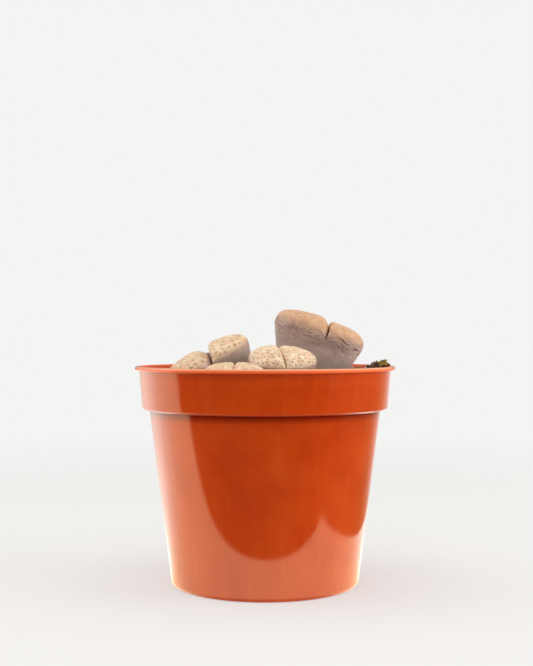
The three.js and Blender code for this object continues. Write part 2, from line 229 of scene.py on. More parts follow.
def add_piece(name, points, faces, material, node=None, layers=None, sharp=None):
    """Adds a mesh piece that rides on the part. layers are one number for each point, by
    attribute name, and sharp is the angle in degrees past which an edge stays sharp."""
    mesh = new_mesh(name, points, faces)
    for layer, values in (layers or {}).items():
        attribute = mesh.attributes.new(layer, "FLOAT", "POINT")
        attribute.data.foreach_set("value", np.asarray(values, np.float32))
    mesh.shade_smooth()
    if sharp:
        mesh.set_sharp_from_angle(angle=math.radians(sharp))
    mesh.materials.append(material)
    piece = new_object(name, mesh)
    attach(piece, "root")
    if node:
        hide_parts(node)
    return piece


def point_normals(points, faces):
    """Unit normals at the points of a closed mesh of triangles and quads."""
    normals = np.zeros_like(points)
    for size in (3, 4):
        corners = np.array([face for face in faces if len(face) == size])
        across = points[corners[:, 2]] - points[corners[:, 0]]
        other = points[corners[:, size - 1]] - points[corners[:, 1]]
        normal = np.cross(across, other)
        for k in range(size):
            np.add.at(normals, corners[:, k], normal)
    return normals / np.maximum(np.linalg.norm(normals, axis=1, keepdims=True), 1e-12)


def grid_faces(rows, columns, wrap_rows=False, wrap_columns=False):
    faces = []
    for i in range(rows if wrap_rows else rows - 1):
        above, below = i * columns, (i + 1) % rows * columns
        for j in range(columns if wrap_columns else columns - 1):
            right = (j + 1) % columns
            faces.append((above + j, above + right, below + right, below + j))
    return faces


def rounded(outline):
    """The (radius, height) points of an open outline of (radius, height, fillet) corners, with a
    curve in place of each corner that has a fillet, and extra points along the straights."""
    corners = np.array([corner[:2] for corner in outline], float)
    fillets = [corner[2] for corner in outline]
    steps = 6
    curves = []
    for i, (corner, fillet) in enumerate(zip(corners, fillets)):
        if not fillet:
            curves.append([corner])
            continue
        before, after = corners[i - 1] - corner, corners[i + 1] - corner
        spans = np.linalg.norm(before), np.linalg.norm(after)
        cosine = np.dot(before, after) / (spans[0] * spans[1])
        cut = min(fillet / math.tan(math.acos(cosine) / 2), 0.8 * min(spans))
        start, end = corner + before / spans[0] * cut, corner + after / spans[1] * cut
        share = np.linspace(0, 1, steps + 1)[:, None]
        back = 1 - share
        curves.append(list(back**2 * start + 2 * share * back * corner + share**2 * end))
    points = list(curves[0])
    for curve in curves[1:]:
        start, end = points[-1], curve[0]
        span = np.linalg.norm(end - start)
        inset = 0.25 / span
        if inset < 0.2:
            for share in np.linspace(inset, 1 - inset, max(2, int(span / 3) + 1)):
                points.append(start + share * (end - start))
        points.extend(curve)
    return np.array(points)


def turned(profile):
    """Points and faces of a closed (radius, height) profile turned about Z. It starts on the
    axis at the bottom, runs outwards and up, and ends on the axis."""
    angles = around(SECTORS)
    ring = profile[1:-1]
    radius, height = ring[:, :1], ring[:, 1:]
    x, y = radius * np.cos(angles), radius * np.sin(angles)
    points = np.stack([x, y, np.broadcast_to(height, x.shape)], -1).reshape(-1, 3)
    faces = grid_faces(len(ring), SECTORS, wrap_columns=True)
    bottom, top = len(points), len(points) + 1
    points = np.vstack([points, [0, 0, profile[0][1]], [0, 0, profile[-1][1]]])
    last = (len(ring) - 1) * SECTORS
    for j in range(SECTORS):
        right = (j + 1) % SECTORS
        faces.append((bottom, right, j))
        faces.append((top, last + j, last + right))
    return points, faces


# ---- materials


class Nodes:
    """A short way to add nodes to a material's or the world's tree and join them."""

    def __init__(self, owner):
        owner.use_nodes = True
        self.owner = owner
        self.tree = owner.node_tree
        self.tree.nodes.clear()

    def add(self, kind, inputs=None, **settings):
        node = self.tree.nodes.new("ShaderNode" + kind)
        for name, value in settings.items():
            setattr(node, name, value)
        for name, value in (inputs or {}).items():
            if isinstance(value, bpy.types.NodeSocket):
                self.tree.links.new(value, node.inputs[name])
            else:
                node.inputs[name].default_value = value
        return node

    def out(self, kind, inputs=None, socket=0, **settings):
        """One output of a new node."""
        return self.add(kind, inputs, **settings).outputs[socket]

    def layer(self, name):
        return self.out("Attribute", attribute_name=name, socket="Fac")

    def place(self, stretch=(1, 1, 1)):
        """The point's place on the piece in metres, stretched."""
        place = self.out("TexCoord", socket="Object")
        return self.out("Mapping", {"Vector": place, "Scale": stretch})

    def axes(self, vector):
        """A vector's outputs X, Y and Z."""
        return self.add("SeparateXYZ", {0: vector}).outputs

    def noise(self, size, detail=3, roughness=0.5, stretch=(1, 1, 1), place=None):
        """Noise from 0 to 1 with bumps of a size in millimetres, at the stretched place or another."""
        place = place or self.place(stretch)
        inputs = {"Vector": place, "Scale": 1 / (size * MM), "Detail": detail, "Roughness": roughness}
        return self.out("TexNoise", inputs, socket="Fac")

    def span(self, value, low, high, to_low=0.0, to_high=1.0):
        """value taken from low..high to to_low..to_high, and kept in it."""
        inputs = {"Value": value, "From Min": low, "From Max": high, "To Min": to_low, "To Max": to_high}
        return self.out("MapRange", inputs, interpolation_type="SMOOTHSTEP")

    def maths(self, operation, a, b=0.0):
        return self.out("Math", {0: a, 1: b}, operation=operation)

    def plus(self, a, b):
        return self.maths("ADD", a, b)

    def times(self, a, b):
        return self.maths("MULTIPLY", a, b)

    def glow(self, tint, strength):
        return self.out("Emission", {"Color": colour(tint), "Strength": strength})

    def either(self, share, a, b):
        """Shader b for the share, and a for the rest."""
        return self.out("MixShader", {0: share, 1: a, 2: b})

    def mix(self, share, a, b, blend="MIX"):
        a, b = (colour(c) if isinstance(c, str) else c for c in (a, b))
        inputs = {0: share, 6: a, 7: b}
        return self.out("Mix", inputs, data_type="RGBA", blend_type=blend, socket=2)

    def surface(self, kind, inputs):
        """Gives the material its shader, and returns the material."""
        shader = self.out(kind, inputs)
        self.tree.links.new(shader, self.add("OutputMaterial").inputs["Surface"])
        return self.owner

    def skin(self, base, roughness, relief, depth, **more):
        """Gives the material a plain shader with a relief of a depth in millimetres."""
        normal = self.out("Bump", {"Height": relief, "Distance": depth * MM, "Strength": 1.0})
        inputs = {"Base Color": base, "Roughness": roughness, "Normal": normal, **more}
        return self.surface("BsdfPrincipled", inputs)


def under_skin(radius, depth):
    """Inputs for light that spreads under a surface, by a radius for red, green and blue."""
    return {"Subsurface Weight": 0.12, "Subsurface Radius": radius, "Subsurface Scale": depth * MM}


def new_material(name):
    return Nodes(bpy.data.materials.new(name))


def colour(text):
    """A hex sRGB colour as linear RGBA."""
    channels = [int(text[i : i + 2], 16) / 255 for i in (1, 3, 5)]
    return [c / 12.92 if c <= 0.04045 else ((c + 0.055) / 1.055) ** 2.4 for c in channels] + [1]


def pot_material():
    """Glossy plastic. The layer thin is painted glow and highlight where light would shine through,
    corner painted shade under the lip and the collar.
    """
    nodes = new_material("orange_plastic")
    cloudy = nodes.noise(18, 2)
    streaks = nodes.noise(2.2, 3, 0.6, stretch=(1, 1, 0.12))
    fine = nodes.noise(0.9, 2)
    base = nodes.mix(nodes.span(cloudy, 0.3, 0.7), "#c43e09", "#cf480f")
    flow = nodes.noise(4.5, 2, stretch=(1, 1, 0.05))
    base = nodes.mix(nodes.span(flow, 0.52, 0.72, 0, 0.22), base, "#dc5a20")
    # painted glow where light would shine through the thin plastic, lighter still as a painted highlight
    # on the lip's top
    base = nodes.mix(nodes.span(nodes.layer("thin"), 0, 0.5), base, "#ff6a32")
    base = nodes.mix(nodes.span(nodes.layer("thin"), 0.5, 1), base, "#f6a67c")
    # painted shade: a dark red under the lip and under the collar's foot
    base = nodes.mix(nodes.layer("corner"), base, "#8c1802")
    # soil dust on the inner wall, below the surface of the grit and a little above it
    height = nodes.axes(nodes.place())["Z"]
    low_down = nodes.span(height, (bed.high - 0.2) * MM, (bed.low + 0.6) * MM)
    dusty = nodes.times(nodes.layer("inside"), low_down)
    dusty = nodes.times(dusty, nodes.span(nodes.noise(3, 4, 0.7), 0.42, 0.6, 0, 0.75))
    base = nodes.mix(dusty, base, "#6b4630")
    scuffs = nodes.span(nodes.noise(1.6, 4, 0.7, stretch=(0.5, 0.5, 0.16)), 0.62, 0.78)
    roughness = nodes.span(streaks, 0.3, 0.75, 0.08, 0.14)
    roughness = nodes.plus(roughness, nodes.times(scuffs, 0.12))
    roughness = nodes.plus(roughness, nodes.times(nodes.layer("inside"), 0.4))
    relief = nodes.mix(0.5, streaks, fine)
    return nodes.skin(base, roughness, relief, 0.012, IOR=1.62, **under_skin((1, 0.25, 0.06), 2.5))


def soil_material():
    nodes = new_material("dark_soil")
    crumbs = nodes.noise(1.4, 5, 0.7)
    base = nodes.mix(nodes.span(crumbs, 0.35, 0.65), "#21160f", "#5a4331")
    return nodes.skin(base, 0.95, crumbs, 0.8)


def grit_material():
    """Stones of several kinds: the layer kind picks one from 0 to 1, and tone shades each stone."""
    nodes = new_material("grit_stones")
    picked = nodes.add("ValToRGB", {"Fac": nodes.layer("kind")})
    kinds = [(0, "#4a3526"), (0.26, "#6d4d37"), (0.42, "#a04a2c")]
    kinds += [(0.58, "#b57a46"), (0.72, "#8d8378"), (0.86, "#cdb795")]
    ramp = picked.color_ramp
    ramp.interpolation = "CONSTANT"
    ramp.elements.remove(ramp.elements[1])
    for i, (start, tint) in enumerate(kinds):
        stop = ramp.elements.new(start) if i else ramp.elements[0]
        stop.color = colour(tint)
    grain = nodes.noise(0.7, 4, 0.65)
    tone = nodes.span(nodes.layer("tone"), 0, 1, 0.55, 1.15)
    shade = nodes.times(tone, nodes.span(grain, 0.3, 0.7, 0.7, 1.15))
    grey = nodes.out("CombineColor", {0: shade, 1: shade, 2: shade})
    base = nodes.mix(1.0, picked.outputs[0], grey, blend="MULTIPLY")
    return nodes.skin(base, 0.9, grain, 0.25)


def fine_lines(nodes):
    """Lines round the head under its rim: where a noise that is drawn out along them is halfway.
    The layer level is the height in the head's own frame, and lined says where they are. The leaf paints
    them as dark lines of painted shade and grooves them into its relief."""
    height = nodes.out("CombineXYZ", {"Z": nodes.layer("level")})
    along = nodes.place((0.22, 0.22, 0))
    place = nodes.out("VectorMath", {0: along, 1: height})
    off_line = nodes.maths("ABSOLUTE", nodes.maths("SUBTRACT", nodes.noise(1.3, 1, place=place), 0.5))
    return nodes.times(nodes.layer("lined"), nodes.span(off_line, 0.008, 0.045, 1, 0))


def leaf_material(name, face, pale, pit, pink, rim, flank, flank_low, cleft="#7a5040"):
    """Leaf skin. The mesh's layers say how much each point is face, rim, pit, crease and cleft; the
    crease and cleft tints and the fine lines are painted shade.
    """
    nodes = new_material(name)
    # the crease colour is painted shade, for the folds, the wrinkles and the fine lines
    crease = "#6b4638"
    mottle = nodes.span(nodes.noise(3.2, 4, 0.6), 0.35, 0.68)
    speckle = nodes.noise(0.55, 3, 0.6)
    skin = nodes.mix(mottle, face, pale)
    skin = nodes.mix(nodes.span(nodes.noise(2.1, 3), 0.5, 0.72, 0, 0.6), skin, pink)
    blush = nodes.times(nodes.layer("rim"), nodes.span(nodes.noise(2.4, 3), 0.35, 0.65, 0.15, 0.75))
    # the flank is patchy, and paler towards the ground as painted light
    patches = nodes.span(nodes.noise(5, 4, 0.6, stretch=(0.6, 0.6, 1.6)), 0.34, 0.68, -0.25, 0.25)
    height = nodes.axes(nodes.place())["Z"]
    low_down = nodes.plus(nodes.span(height, FLANK_FADE[0] * MM, FLANK_FADE[1] * MM), patches)
    base = nodes.mix(nodes.layer("face"), nodes.mix(low_down, flank, flank_low), skin)
    base = nodes.mix(blush, base, rim)
    base = nodes.mix(nodes.span(speckle, 0.55, 0.8, 0, 0.14), base, pit)
    lines = fine_lines(nodes)
    # pits are the skin's own marks; the crease, line and cleft tints are painted shade
    for mask, share, tint in (
        (nodes.layer("pit"), 0.8, pit),
        (nodes.layer("crease"), 0.85, crease),
        (lines, 0.32, crease),
        (nodes.layer("cleft"), 0.7, cleft),
    ):
        base = nodes.mix(nodes.times(mask, share), base, tint)
    grain = nodes.mix(0.5, nodes.noise(0.35, 3, 0.6), nodes.noise(1.1, 3, 0.6))
    relief = nodes.maths("SUBTRACT", grain, nodes.times(lines, 1.3))
    roughness = nodes.span(speckle, 0.3, 0.7, 0.5, 0.66)
    more = {"Specular IOR Level": 0.35, **under_skin((1, 0.5, 0.3), 1.2)}
    return nodes.skin(base, roughness, relief, 0.09, **more)


def moss_material():
    """Moss: the layer tint is 0 for the dark core, about 0.3 for dry leaves and 1 for green ones, and
    shoots low in the pot get lower tints as painted shade.
    """
    nodes = new_material("dry_moss")
    patch = nodes.span(nodes.noise(1.6, 3), 0.35, 0.65)
    tint = nodes.layer("tint")
    dry = nodes.mix(patch, "#6a4630", "#c49c78")
    leafy = nodes.mix(patch, "#a09432", "#e2d168")
    base = nodes.mix(nodes.span(tint, 0.05, 0.35), "#2b1e15", dry)
    base = nodes.mix(nodes.span(tint, 0.4, 0.65), base, leafy)
    return nodes.skin(base, 0.8, nodes.noise(0.4, 3), 0.15)


def husk_material():
    nodes = new_material("papery_husk")
    veins = nodes.noise(0.6, 3, 0.6, stretch=(1, 1, 0.15))
    base = nodes.mix(nodes.span(veins, 0.35, 0.65), "#d9c7a4", "#b3946a")
    return nodes.skin(base, 0.7, veins, 0.1)


# ---- pot


def inner_radius(height):
    """The wall's inner radius at a height in the collar."""
    share = (height - pot.collar_bottom) / (pot.height - pot.collar_bottom)
    radius = pot.collar_bottom_radius + share * (pot.collar_top_radius - pot.collar_bottom_radius)
    return radius - pot.wall


def body_radius(height):
    share = height / pot.body_top
    return pot.body_bottom_radius + share * (pot.body_top_radius - pot.body_bottom_radius)


def pot_profile():
    """The pot's section from its axis to the outside, over the lip and back to the axis."""
    ring_inside = pot.ring_radius - pot.ring_width
    step = pot.collar_bottom
    corner = step - pot.step_drop
    inner_start, inner_end = pot.inner_step
    return rounded(
        [
            (0, pot.floor_underside, 0),
            (ring_inside - pot.ring_draft, pot.floor_underside, 0.3),
            (ring_inside, 0, 0.3),
            (body_radius(0) - pot.bottom_inset, 0, pot.bottom_fillet),
            (pot.body_top_radius + 0.2, corner, 0.12),
            (pot.collar_bottom_radius - pot.foot_inset, corner, 0.3),
            (pot.collar_bottom_radius, corner + pot.foot_rise, 0.45),
            (pot.collar_top_radius, pot.height - pot.lip_thickness, 0.25),
            (pot.lip_radius, pot.height - pot.lip_edge, 0.1),
            (pot.lip_radius, pot.height, 0.75),
            (inner_radius(pot.height), pot.height, 0.6),
            (inner_radius(step), step + inner_start, 0.8),
            (body_radius(step) - pot.wall, step + inner_end, 0.8),
            (body_radius(pot.floor_top) - pot.wall, pot.floor_top, 1.4),
            (0, pot.floor_top, 0),
        ]
    )


def pot_layers(radius, height, inside):
    """Painted glow where light would come through the wall and the lip, and painted shade where little
    light comes in.
    """

    def near_top(depth, fade):
        return smooth((height - pot.height + depth) / fade)

    on_lip = (radius > pot.collar_top_radius + 0.3) & (height > pot.height - pot.lip_edge - 0.1)
    # above the grit a little painted glow goes on the outer face too
    painted_glow_wall = np.maximum(0.5 * inside * near_top(4, 3.5), 0.15 * near_top(8, 4) * (1 - inside))
    # thin is painted glow on the lip, brightest at its top as a painted highlight
    thin = np.maximum(on_lip * (0.5 + 0.5 * near_top(1, 0.8)), painted_glow_wall)
    below_lip = pot.height - pot.lip_thickness - height
    below_collar = pot.collar_bottom - pot.step_drop - height
    under_lip = below_lip > pot.lip_edge - pot.lip_thickness - 0.05
    # corner is painted shade: faint under the lip, deep under the collar's foot and fading downwards
    corner = 0.3 * under_lip * np.exp(-np.abs(below_lip) / 1.1)
    corner = np.maximum(corner, np.exp(-((below_collar / 2.6) ** 4)) * (below_collar > -0.6))
    corner *= (1 - inside) * (radius > pot.ring_radius)
    return {"inside": inside, "thin": thin, "corner": corner}


def make_pot():
    profile = pot_profile()
    points, faces = turned(profile)
    radius = radius_of(points)
    wall = smooth((radius - 0.8 * pot.ring_radius) / 8) * smooth(points[:, 2] / 4)
    # moulded walls are never quite round: they wave inwards by a few hundredths
    wave = 0.035 * (1 + layered_noise(points, (16, 16, 22), 3, 2)) * wall
    points[:, :2] *= (1 - wave / np.maximum(radius, 1))[:, None]
    past_lip = np.arange(1, len(profile) - 1) > np.argmax(profile[:, 1]) + 1
    inside = np.concatenate([np.repeat(past_lip, SECTORS), [False, True]])
    layers = pot_layers(radius, points[:, 2], inside)
    plastic = pot_material()
    piece = add_piece("pot_shell", points, faces, plastic, node="pot", layers=layers)
    drill = drain_drill()
    cut = piece.modifiers.new("drain", "BOOLEAN")
    cut.operation = "DIFFERENCE"
    cut.solver = "EXACT"
    cut.object = drill
    graph = bpy.context.evaluated_depsgraph_get()
    shape = bpy.data.meshes.new_from_object(piece.evaluated_get(graph))
    piece.modifiers.clear()
    piece.data = shape
    bpy.data.objects.remove(drill)
    shape.shade_smooth()
    shape.set_sharp_from_angle(angle=math.radians(35))


def drain_drill():
    """One mesh of short rods through the pot's floor, to be cut out of it."""
    sides = 40
    rods = Gathered()
    for turn in around(pot.drain_holes):
        x = pot.drain_circle * math.cos(turn) + pot.drain_radius * np.cos(around(sides))
        y = pot.drain_circle * math.sin(turn) + pot.drain_radius * np.sin(around(sides))
        ends = [np.stack([x, y, np.full(sides, height)], -1) for height in (-5, 12)]
        faces = grid_faces(2, sides, wrap_columns=True)
        faces += [tuple(range(sides))[::-1], tuple(range(sides, 2 * sides))]
        rods.take(np.vstack(ends), faces)
    points, faces, _ = rods.joined()
    return new_object("drain_drill", new_mesh("drain_drill", points, faces))


# ---- heads


def turn_of(head):
    """The turn from the head's own frame to the part's."""
    lean = Matrix.Rotation(math.radians(head.lean), 3, "Y")
    nod = Matrix.Rotation(math.radians(head.nod), 3, "X")
    spin = Matrix.Rotation(math.radians(head.turn), 3, "Z")
    return np.array(lean @ nod @ spin)


def outside(head, points):
    """How far points lie outside a head's outline; below 0 is inside."""
    local = (points - np.array(head.place)) @ turn_of(head)
    reach = np.where(local[:, 0] > 0, head.reach[1], head.reach[0])
    down = np.clip(-local[:, 2] / head.root, 0, 1)
    across = np.hypot(local[:, 0] / reach, local[:, 1] / head.depth)
    return (across - (1 - down**head.taper)) * head.depth


def leaf_lines(head, side, phi, theta):
    """The smooth surface of one leaf. side is 1 for the right leaf and -1 for the left one. phi
    runs from the cleft round the outer side to the root, and theta along the cleft."""
    leaf = 1 if side > 0 else 0
    reach, crown, lip = head.reach[leaf], head.crown[leaf], head.lip[leaf]
    nx = np.cos(theta) * np.sin(phi)
    ny = np.sin(theta) * np.ones_like(phi)
    polar = np.arccos(np.clip(np.cos(theta) * np.cos(phi), -1, 1))
    across = np.hypot(nx, ny)
    on_axis = across < 1e-9
    ux = np.where(on_axis, 0, nx / np.maximum(across, 1e-9))
    uy = np.where(on_axis, 1, ny / np.maximum(across, 1e-9))
    span = (np.abs(ux) / reach) ** PLAN_POWER + (np.abs(uy) / head.depth) ** PLAN_POWER
    radius = 1 / span ** (1 / PLAN_POWER)

    rise = np.minimum(polar / SHOULDER, 1) * math.pi / 2
    n = head.crown_power
    r = 1 / (np.sin(rise) ** n + np.maximum(np.cos(rise), 0) ** n) ** (1 / n)
    down = np.clip((polar - SHOULDER) / (math.pi - SHOULDER), 0, 1)
    on_crown = polar <= SHOULDER
    spread = np.where(on_crown, r * np.sin(rise), 1 - down**head.taper)
    height = np.where(on_crown, crown * r * np.cos(rise), -head.root * down)
    x, y = radius * ux * spread, radius * uy * spread

    edge = np.clip(1 - x / lip, 0, 1)
    raised = smooth(height / (0.6 * crown))
    height = height - raised * lip * 0.75 * (1 - np.sqrt(1 - edge * edge))
    top = 0.8 * max(head.crown)
    cleft = head.cleft_gap / 2 * smooth((height - head.cleft_floor) / (top - head.cleft_floor))
    return np.stack([side * (x + cleft), y, height], -1)


def head_surface(head):
    """Points, faces and the depth in the cleft of a head's closed smooth surface: lines from the
    front pole to the back one, up the right leaf, through the cleft and down the left leaf."""
    side_end = SHOULDER + (math.pi - SHOULDER) * SIDE_SHARE
    phi = np.concatenate(
        [
            SHOULDER * (np.arange(CROWN_ROWS) / CROWN_ROWS) ** 1.1,
            np.linspace(SHOULDER, side_end, SIDE_ROWS, endpoint=False),
            np.linspace(side_end, math.pi, ROOT_ROWS + 1),
        ]
    )[:, None]
    theta = np.linspace(-math.pi / 2, math.pi / 2, SLICES + 1)[None, :]
    right, left = (leaf_lines(head, side, phi, theta) for side in (1, -1))

    def wall(edge, share):
        drop = np.maximum(edge[:, 2] - head.cleft_floor, 0)
        return np.stack([edge[:, 0] * (1 - share) ** 0.6, edge[:, 1], edge[:, 2] - drop * share], -1)

    shares = [i / (WALL_ROWS + 1) for i in range(1, WALL_ROWS + 1)]
    down = [wall(right[0], share) for share in shares + [1]]
    up = [wall(left[0], share) for share in shares[::-1]]
    lines = np.array([*right[::-1], *down, *up, *left[:-1]])
    depth = [0] * len(phi) + shares + [1] + shares[::-1] + [0] * (len(phi) - 1)

    rows, inner = len(lines), SLICES - 1
    points = np.vstack([lines[:, 1:-1].reshape(-1, 3), lines[0, 0], lines[0, -1]])
    faces = grid_faces(rows, inner, wrap_rows=True)
    front, back = rows * inner, rows * inner + 1
    for i in range(rows):
        below = (i + 1) % rows
        faces.append((i * inner, below * inner, front))
        faces.append((below * inner + inner - 1, i * inner + inner - 1, back))
    open_share = smooth((lines[len(phi) - 1, 1:-1, 2] - head.cleft_floor) / 1.5)
    in_cleft = np.concatenate([(np.array(depth)[:, None] * open_share).ravel(), [0, 0]])
    return welded(points, faces, in_cleft)


def welded(points, faces, layer):
    """The same surface with points that coincide made one, and the faces that this shuts left out."""
    _, first, place = np.unique(np.round(points, 3), axis=0, return_index=True, return_inverse=True)
    place = place.ravel()
    kept = []
    for face in faces:
        corners = list(dict.fromkeys(place[list(face)].tolist()))
        if len(corners) > 2:
            kept.append(tuple(corners))
    return points[first], kept, layer[first]


def scatter(points, spacing, draw):
    """Indices of points picked at random, no two closer than about spacing."""
    chosen = np.empty((0, 3))
    picked = []
    most = 9000
    for i in draw.permutation(len(points))[:most]:
        room = spacing * draw.uniform(0.8, 1.35)
        if len(chosen) and np.min(np.sum((chosen - points[i]) ** 2, axis=1)) < room**2:
            continue
        chosen = np.vstack([chosen, points[i]])
        picked.append(i)
    return picked


def pits(head, points, normals, on_face, draw):
    """How much each point is in a pit: short dashes, bent spots and dots all over the faces."""
    mask = np.zeros(len(points))
    where = np.flatnonzero(on_face)
    largest = 2
    for i in where[scatter(points[where], head.pit_spacing, draw)]:
        near = where[np.sum((points[where] - points[i]) ** 2, axis=1) < largest**2]
        bend = draw.uniform(0, 2 * math.pi)
        start = points[i]
        for _ in range(draw.choice([1, 2], p=[0.6, 0.4])):
            sideways = unit(np.cross(normals[i], [math.cos(bend), math.sin(bend), 0.2]))
            end = start + sideways * head.pit_size * draw.uniform(0.2, 1.8)
            away = segment_distance(points[near], start, end)[0]
            width = head.pit_size * draw.uniform(0.6, 1.1)
            mask[near] = np.maximum(mask[near], bell(away / width) * draw.uniform(0.6, 1))
            bend += draw.uniform(0.8, 1.8)
    return mask


def fold_distance(head, points):
    """Distance on the front from the nearest of the head's folds, along wavering lines."""
    far = 99.0
    nearest = np.full(len(points), far)
    flat = points[:, [0, 2]] + 0.45 * np.stack([noise(points, 2.2, 61), noise(points, 2.2, 62)], -1)
    for x0, z0, x1, z1 in head.folds:
        away, share = segment_distance(flat, np.array([x0, z0]), np.array([x1, z1]))
        nearest = np.minimum(nearest, away + 0.5 * np.abs(share - 0.5))
    return np.where(points[:, 1] > 0, far, nearest)


def make_head(head, number, material):
    draw = np.random.default_rng(100 + number)
    points, faces, in_cleft = head_surface(head)
    normals = point_normals(points, faces)
    level = points[:, 2]
    height = level + 0.5 * layered_noise(points, 3.5, 31 + number)
    face = smooth((height - head.rim) / head.rim_blend + 0.5)
    under_rim = bell((level - head.rim + 3) / 5)
    on_face = (level > head.pit_floor) & (in_cleft == 0) & (np.abs(points[:, 0]) > 0.6)
    pit = pits(head, points, normals, on_face, draw)
    # painted shade deep in the cleft
    cleft = smooth((in_cleft - 0.3) * 1.8)

    def lines(cell, seed, power):
        """Lines where a noise that is stretched round the head goes through 0."""
        return (1 - np.abs(noise(points, cell, seed + number))) ** power

    wrinkles = np.maximum(lines((7, 7, 1.3), 41, 17), 0.8 * lines((3.5, 3.5, 0.7), 51, 14))
    wrinkles += 0.55 * lines((2.8, 2.8, 0.45), 57, 12)
    wrinkles *= head.wrinkle * under_rim
    away = fold_distance(head, points)
    fold = bell(away / 0.24)
    swell = bell((away - 0.7) / 0.4)

    deep = 0.3 * pit
    deep += 0.16 * (1 + layered_noise(points, 7, 71 + number, 2))
    deep += 0.05 * (1 + layered_noise(points, 1.1, 81 + number, 2)) * (1 - cleft)
    deep += wrinkles
    deep += 0.55 * fold - 0.1 * swell
    points = points - normals * deep[:, None]
    layers = {
        "face": face,
        "rim": bell((height - head.rim + 0.3 * head.rim_blend) / (0.45 * head.rim_blend)),
        "pit": pit,
        "cleft": cleft,
        # crease and lined mark painted shade in the folds and wrinkles and along the fine lines
        "crease": np.clip(fold + 2.6 * wrinkles, 0, 1),
        "lined": np.clip(5 * head.wrinkle * under_rim, 0, 1) * (1 - cleft),
        "level": level * MM,
    }
    placed = points @ turn_of(head).T + np.array(head.place)
    name = head.name + "_skin"
    add_piece(name, placed, faces, material, node=head.name, layers=layers)


def make_heads():
    # the cleft tints are painted shade, and the paler lower flank tints painted light
    cream = dict(face="#dfbd97", pale="#f3ddbd", pink="#e0aa98", pit="#80594a", rim="#c4958e")
    cream.update(flank="#cdb6ad", flank_low="#cdbdaf")
    tan = dict(face="#d2a47f", pale="#e0b994", pink="#d09c86", pit="#94705f", rim="#b89688")
    tan.update(flank="#c6b0a9", flank_low="#e2cdc7", cleft="#b5836a")
    for number, head in enumerate(heads):
        tints = dict(tan if head is tall_head else cream)
        if head.name == "lithops_front":
            tints.update(cleft="#c39a80", pit="#96665a", pink="#dd9f92")
        if head.name == "lithops_middle":
            tints.update(face="#e6c6a2", pale="#f8e6c9")
        make_head(head, number, leaf_material(head.name + "_leaf", **tints))


# ---- grit


def grit_height(x, y):
    """The grit's surface: low on the left and heaped towards the right wall."""
    slope = smooth(0.3 + 0.8 * x / pot.lip_radius)
    heap = bell((x - clump.x) / bed.heap_x) * bell((y - clump.y) / bed.heap_y)
    rise = bed.slope_share * slope + (1 - bed.slope_share) * heap
    return bed.low + (bed.high - bed.low) * rise


def icosphere(subdivisions):
    """Unit directions and triangles of an even ball."""
    ball = bmesh.new()
    bmesh.ops.create_icosphere(ball, subdivisions=subdivisions, radius=1)
    points = np.array([vertex.co[:] for vertex in ball.verts])
    faces = [tuple(vertex.index for vertex in face.verts) for face in ball.faces]
    ball.free()
    return points, faces


def stone_shapes(count, subdivisions, draw):
    """Angular stones of radius about 1: balls cut by random planes, then squashed."""
    directions, faces = icosphere(subdivisions)
    cuts = 11
    planes = draw.normal(size=(count, cuts, 3))
    planes /= np.linalg.norm(planes, axis=2, keepdims=True)
    offsets = draw.uniform(0.62, 1, (count, cuts))
    facing = np.einsum("vd,scd->svc", directions, planes)
    reach = np.where(facing > 0.05, offsets[:, None, :] / np.maximum(facing, 0.05), 9).min(axis=2)
    shapes = directions[None] * np.minimum(reach, 1.12)[..., None]
    shapes *= draw.uniform(0.6, 1.1, (count, 1, 3))
    return shapes, faces


def lay_stones(radii, draw, sink, spots):
    """Lays stones on the bed, clear of the heads, the wall, the clump and each other: adds their
    (x, y, z, radius) to spots, and returns the new ones."""
    first = len(spots)
    tries = 40
    for radius in radii:
        for _ in range(tries):
            angle = draw.uniform(0, 2 * math.pi)
            reach = (inner_radius(bed.high) - radius - 0.3) * math.sqrt(draw.uniform(0, 1))
            x, y = reach * math.cos(angle), reach * math.sin(angle)
            centre = np.array([x, y, float(grit_height(x, y)) + sink * radius])
            if any(outside(head, centre[None])[0] < 0.5 * radius for head in heads):
                continue
            if math.hypot((x - clump.x) / clump.half_length, (y - clump.y) / clump.half_width) < 0.8:
                continue
            known = np.array(spots)
            if np.any(np.linalg.norm(known[:, :3] - centre, axis=1) < 0.82 * (known[:, 3] + radius)):
                continue
            spots.append((*centre, radius))
            break
    return np.array(spots[first:])


def random_turns(count, draw):
    """Random rotation matrices."""
    ways = draw.normal(size=(count, 4))
    return np.array([Quaternion(way).normalized().to_matrix() for way in ways])


def take_stones(grit, spots, subdivisions, draw, kinds=None):
    """Adds stones at (x, y, z, radius) spots, each with a kind and a tone from 0 to 1."""
    count = len(spots)
    shapes, faces = stone_shapes(count, subdivisions, draw)
    shapes = np.einsum("svd,sed->sve", shapes, random_turns(count, draw))
    shapes = spots[:, None, :3] + shapes * spots[:, None, 3:]
    kinds = draw.uniform(0, 1, count) if kinds is None else kinds
    for points, kind, tone in zip(shapes, kinds, draw.uniform(0, 1, count)):
        grit.take(points, faces, kind=kind, tone=tone)


